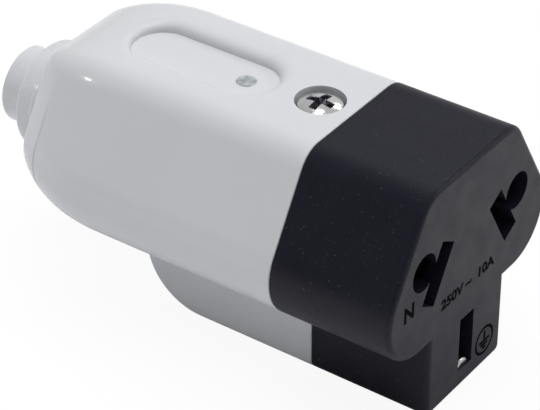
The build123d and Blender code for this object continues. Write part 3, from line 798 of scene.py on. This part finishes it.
@dataclass
class FaceMarks:
    """The cut marks on the face: a pole letter, the rating and the earth sign. Each is a thin
    sheet standing a little out of the face, painted near black as the shade in the cut.

    Spots are across the face, from the middle of the pin layout.
    """

    relief: float = 0.02 * MM
    boldness: float = 0.035
    text_depth: float = 0.02
    letter_height: float = 2.2 * MM
    letter_centre: Pair = (-13.15 * MM, 2.5 * MM)
    rating_height: float = 1.5 * MM
    rating_left: Pair = (-6.1 * MM, -1.73 * MM)
    rating_right: Pair = (5.7 * MM, -1.73 * MM)

    earth_centre: Pair = (4.45 * MM, -12.55 * MM)
    earth_radius: float = 1.9 * MM
    earth_stem: Pair = (0.75, -0.05)
    earth_bars: tuple[Pair, ...] = ((-0.05, 0.62), (-0.32, 0.42), (-0.58, 0.2))
    stroke_width: float = 0.42 * MM
    stroke_steps: int = 7
    line_steps: int = 5
    circle_steps: int = 48

    def text_points(self, words: str) -> tuple[np.ndarray, list[tuple[int, ...]]]:
        """Draw words and read their mesh.

        Args:
            words: The characters to draw.

        Returns:
            The points, scaled to unit height from the origin, and the faces.
        """
        curve = bpy.data.curves.new("mark_text", "FONT")
        curve.body = words
        curve.extrude = self.text_depth
        curve.offset = self.boldness
        carrier = bpy.data.objects.new("mark_text", curve)
        bpy.context.scene.collection.objects.link(carrier)
        bpy.context.view_layer.update()
        mesh = bpy.data.meshes.new_from_object(carrier)
        points = np.empty(3 * len(mesh.vertices))
        mesh.vertices.foreach_get("co", points)
        faces = [tuple(polygon.vertices) for polygon in mesh.polygons]
        bpy.data.objects.remove(carrier)
        bpy.data.meshes.remove(mesh)
        points = points.reshape(-1, 3)
        points -= points.min(axis=0)
        return points / points[:, 1].max(), faces

    def finish(
        self,
        name: str,
        flat: np.ndarray,
        depth: np.ndarray,
        faces: list[tuple[int, ...]],
        material: Material,
    ) -> None:
        """Stand flat points on the socket's face and make the piece.

        Args:
            name: The piece's name.
            flat: Spots of the points.
            depth: How far each point stands out of the face.
            faces: Faces by vertex number.
            material: The material to show.
        """
        face_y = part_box("socket_body")[0][1]
        points = np.column_stack([flat[:, 0], face_y - depth, PIN_CENTRE_HEIGHT + flat[:, 1]])
        mesh = bpy.data.meshes.new(name)
        mesh.from_pydata(points.tolist(), [], faces)
        place_piece(name, mesh, material)

    def letter(self, material: Material) -> None:
        """Lay the pole letter, centred on its spot, as a thin sheet painted with the cut's shade.

        Args:
            material: The material to show.
        """
        points, faces = self.text_points("N")
        size = self.letter_height * np.array([points[:, 0].max(), 1.0])
        flat = np.array(self.letter_centre) - 0.5 * size + points[:, :2] * self.letter_height
        depth = self.relief * points[:, 2] / points[:, 2].max()
        self.finish("pole_letter", flat, depth, faces, material)

    def rating(self, material: Material) -> None:
        """Lay the rating, stretched along the line from its left to its right end, as a thin
        sheet painted with the cut's shade.

        Args:
            material: The material to show.
        """
        points, faces = self.text_points("250V ~  10A")
        left, right = np.array(self.rating_left), np.array(self.rating_right)
        run = (right - left) / points[:, 0].max()
        flat = left + points[:, :1] * run + points[:, 1:2] * np.array([0.0, self.rating_height])
        depth = self.relief * points[:, 2] / points[:, 2].max()
        self.finish("rating", flat, depth, faces, material)

    def stroke(self, path: np.ndarray, closed: bool) -> tuple[np.ndarray, np.ndarray, np.ndarray]:
        """Carry a low rounded ridge along a path on the face.

        At each point of the path the ridge's section is half an ellipse across the path, as wide
        as the stroke and as high as the relief, and a flat foot closes it.

        Args:
            path: Points across the face.
            closed: Whether the path is a loop.

        Returns:
            Flat points, their heights, and the faces.
        """
        if closed:
            along = np.roll(path, -1, axis=0) - np.roll(path, 1, axis=0)
        else:
            along = np.gradient(path, axis=0)
        along /= np.linalg.norm(along, axis=1, keepdims=True)
        across = np.column_stack([-along[:, 1], along[:, 0]])
        turn = np.linspace(0, np.pi, self.stroke_steps)
        offset = 0.5 * self.stroke_width * np.cos(turn)
        flat = path[:, None, :] + offset[None, :, None] * across[:, None, :]
        height = np.tile(self.relief * np.sin(turn), (len(path), 1))
        faces = grid_faces(len(path), len(turn), closed, True)
        return flat.reshape(-1, 2), height.ravel(), faces

    def earth_sign(self, material: Material) -> None:
        """Lay the earth sign: a stem and three shrinking bars in a circle, as low ridges painted
        with the cut's shade.

        The stem's ends, and the bars' heights and half widths, are shares of the radius.

        Args:
            material: The material to show.
        """
        centre = np.array(self.earth_centre)
        radius = self.earth_radius
        turn = full_turn(self.circle_steps)
        step = np.linspace(0, 1, self.line_steps)[:, None]
        top, foot = self.earth_stem
        lines = [((0, top), (0, foot))]
        lines += [((-half, level), (half, level)) for level, half in self.earth_bars]
        circle = centre + radius * np.column_stack([np.cos(turn), np.sin(turn)])
        parts = [self.stroke(circle, True)]
        for start, end in lines:
            first = centre + radius * np.array(start)
            last = centre + radius * np.array(end)
            parts.append(self.stroke(first * (1 - step) + last * step, False))
        counts = np.cumsum([0] + [len(part[0]) for part in parts])
        flat = np.concatenate([part[0] for part in parts])
        depth = np.concatenate([part[1] for part in parts])
        faces = np.concatenate([part[2] + count for part, count in zip(parts, counts)])
        self.finish("earth_sign", flat, depth, faces.tolist(), material)

    def build(self, material: Material) -> None:
        """Make all the marks, painted with the shade of their cuts.

        Args:
            material: The painted shade of the cuts.
        """
        self.letter(material)
        self.rating(material)
        self.earth_sign(material)


@dataclass
class CableSocket:
    """The whole cable socket, dressed piece by piece."""

    seam: DomeSeam = field(default_factory=DomeSeam)
    neck: NeckForms = field(default_factory=NeckForms)
    recess: ThumbRecess = field(default_factory=ThumbRecess)
    screw: DomedScrew = field(default_factory=DomedScrew)
    marks: FaceMarks = field(default_factory=FaceMarks)

    def dress_shell(self) -> None:
        """Dress the rear shell and the sleeve, and add the shell's soft forms."""
        shell = SHELL_GLOSS.build()
        dress("rear_shell", shell)
        self.seam.build(shell)
        self.neck.root(shell)
        self.neck.joint(shell)
        # The gate mark's darker grey is partly painted shade of its dimple.
        self.recess.build(shell, GATE_GREY_AND_SHADE.build())
        dress("cable_sleeve", SLEEVE_SATIN.build())

    def dress_core(self) -> None:
        """Dress the core, the contacts and all that is fixed to them."""
        core = CORE_MATTE.build()
        brass = CONTACT_BRASS.build()
        plate = PLATE_ZINC.build()
        zinc = SCREW_ZINC.build()
        dress("socket_body", core)
        dress("contact_cover", core)
        dress("earth_contact", CONTACT_NICKEL.build())
        dress("neutral_contact", brass)
        dress("live_contact", brass)
        for pole in ("neutral", "live", "earth"):
            dress(f"{pole}_wire_plate", plate)
            dress(f"{pole}_terminal_screw", zinc)
        dress("cord_clamp", CLAMP_MATTE.build())
        for side in ("left", "right"):
            dress(f"clamp_screw_{side}", zinc)
            dress(f"cover_screw_{side}", zinc)
        dress("shell_nut", zinc)

    def build(self) -> None:
        """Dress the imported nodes, and add the screw and the marks."""
        self.dress_shell()
        self.dress_core()
        nickel = SCREW_NICKEL.build()
        dress("shell_screw", nickel)
        # The deep faces of the screw's cross get painted shade.
        self.screw.build(nickel, PIT_PAINTED_SHADE.build())
        # The marks are painted near black as the shade in their cuts.
        self.marks.build(MARK_PAINTED_SHADE.build())


@dataclass(frozen=True)
class Lamp:
    """A round lamp aimed at the socket, whose size is its diameter.

    A lamp that isn't mirrored gives light but no reflection of itself.
    """

    name: str
    place: Point
    size: float
    level: float
    mirrored: bool = True

    def build(self, target: Vector) -> None:
        """Hang the lamp.

        The power is the level times pi squared times the distance squared, so that at level 1 a
        surface that faces the lamp shows its colour as written.

        Args:
            target: The point that the lamp looks at.
        """
        data = bpy.data.lights.new(self.name, "AREA")
        data.shape = "DISK"
        data.size = self.size
        place = Vector(self.place)
        reach = place - target
        data.energy = self.level * np.pi**2 * reach.length_squared
        lamp = bpy.data.objects.new(self.name, data)
        lamp.location = place
        lamp.rotation_euler = reach.to_track_quat("Z", "Y").to_euler()
        lamp.visible_glossy = self.mirrored
        bpy.context.scene.collection.objects.link(lamp)


def mix_surface(tree: bpy.types.NodeTree, share: Output, first: Output, second: Output) -> None:
    """Show a mix of two shaders as the surface of a material or of the world.

    Args:
        tree: The node tree.
        share: 0 gives the first shader and 1 the second.
        first: The first shader.
        second: The second shader.
    """
    mix = tree.nodes.new("ShaderNodeMixShader")
    tree.links.new(share, mix.inputs["Fac"])
    tree.links.new(first, mix.inputs[1])
    tree.links.new(second, mix.inputs[2])
    end = next(node for node in tree.nodes if node.name in ("World Output", "Material Output"))
    tree.links.new(mix.outputs["Shader"], end.inputs["Surface"])


@dataclass
class Studio:
    """Pale floor, white surroundings, soft lamps and the camera."""

    target: Point = (-12.70 * MM, -13.945 * MM, 25.64 * MM)
    camera_place: Point = (-210.10 * MM, -154.715 * MM, 196.35 * MM)
    lens: float = 170.5
    sensor_width: float = 36.0
    clip: Pair = (0.01, 20.0)
    floor_half: float = 3.0
    floor_colour: Colour = (0.92, 0.92, 0.93)
    floor_roughness: float = 0.9
    floor_specular: float = 0.1
    floor_glow: float = 1.02
    floor_glow_share: float = 0.9
    ambient: Pair = (0.125, 0.60)
    lamps: tuple[Lamp, ...] = (
        Lamp("overhead", (0.06, 0.02, 0.95), 1.00, 0.66, mirrored=False),
        Lamp("high_spark", (0.33, 0.24, 0.80), 0.09, 0.035),
        Lamp("side_spark", (0.67, 0.15, 0.59), 0.09, 0.03),
        Lamp("front_right", (0.50, -0.52, 0.40), 0.05, 0.09),
        Lamp("rear_left", (-0.40, 0.62, 0.34), 0.05, 0.05),
        Lamp("near_camera", (-0.43, -0.25, 0.56), 0.04, 0.035),
    )

    def world(self) -> None:
        """Surround the scene with white to look at and grey to light by, dimmer towards -X."""
        world = bpy.data.worlds.new("studio")
        bpy.context.scene.world = world
        world.use_nodes = True
        tree = world.node_tree
        light = tree.nodes["Background"]
        light.inputs["Color"].default_value = (1.0, 1.0, 1.0, 1.0)
        place = tree.nodes.new("ShaderNodeTexCoord")
        axes = tree.nodes.new("ShaderNodeSeparateXYZ")
        slope = tree.nodes.new("ShaderNodeMapRange")
        slope.inputs["From Min"].default_value = -1.0
        slope.inputs["From Max"].default_value = 1.0
        slope.inputs["To Min"].default_value = self.ambient[0]
        slope.inputs["To Max"].default_value = self.ambient[1]
        tree.links.new(place.outputs["Generated"], axes.inputs["Vector"])
        tree.links.new(axes.outputs["X"], slope.inputs["Value"])
        tree.links.new(slope.outputs["Result"], light.inputs["Strength"])
        seen = tree.nodes.new("ShaderNodeBackground")
        seen.inputs["Strength"].default_value = 1.0
        path = tree.nodes.new("ShaderNodeLightPath")
        share = path.outputs["Is Camera Ray"]
        mix_surface(tree, share, light.outputs["Background"], seen.outputs["Background"])

    def floor_material(self) -> Material:
        """Make a floor that keeps a soft shadow and looks near white to the camera.

        Returns:
            The floor's material.
        """
        material = bpy.data.materials.new("floor_white")
        material.use_nodes = True
        tree = material.node_tree
        shader = tree.nodes["Principled BSDF"]
        shader.inputs["Base Color"].default_value = (*self.floor_colour, 1.0)
        shader.inputs["Roughness"].default_value = self.floor_roughness
        shader.inputs["Specular IOR Level"].default_value = self.floor_specular
        glow = tree.nodes.new("ShaderNodeEmission")
        glow.inputs["Strength"].default_value = self.floor_glow
        share = tree.nodes.new("ShaderNodeMath")
        share.operation = "MULTIPLY"
        share.inputs[1].default_value = self.floor_glow_share
        path = tree.nodes.new("ShaderNodeLightPath")
        tree.links.new(path.outputs["Is Camera Ray"], share.inputs[0])
        ground, light = shader.outputs["BSDF"], glow.outputs["Emission"]
        mix_surface(tree, share.outputs["Value"], ground, light)
        return material

    def floor(self) -> None:
        """Lay the floor."""
        half = self.floor_half
        corners = [(-half, -half, 0), (half, -half, 0), (half, half, 0), (-half, half, 0)]
        mesh = bpy.data.meshes.new("floor")
        mesh.from_pydata(corners, [], [(0, 1, 2, 3)])
        mesh.materials.append(self.floor_material())
        floor = bpy.data.objects.new("floor", mesh)
        bpy.context.scene.collection.objects.link(floor)

    def camera(self) -> None:
        """Set the camera at the photograph's viewing angle."""
        data = bpy.data.cameras.new("camera")
        data.lens = self.lens
        data.sensor_width = self.sensor_width
        data.clip_start, data.clip_end = self.clip
        camera = bpy.data.objects.new("camera", data)
        camera.location = self.camera_place
        reach = Vector(self.camera_place) - Vector(self.target)
        camera.rotation_euler = reach.to_track_quat("Z", "Y").to_euler()
        bpy.context.scene.collection.objects.link(camera)
        bpy.context.scene.camera = camera

    def build(self) -> None:
        """Build the whole studio."""
        bpy.context.scene.view_settings.view_transform = "Standard"
        self.world()
        self.floor()
        self.camera()
        for lamp in self.lamps:
            lamp.build(Vector(self.target))


def main() -> None:
    """Build the socket and its studio."""
    logging.basicConfig(level=logging.INFO)
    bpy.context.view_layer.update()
    CableSocket().build()
    Studio().build()


if __name__ == "__main__":
    main()
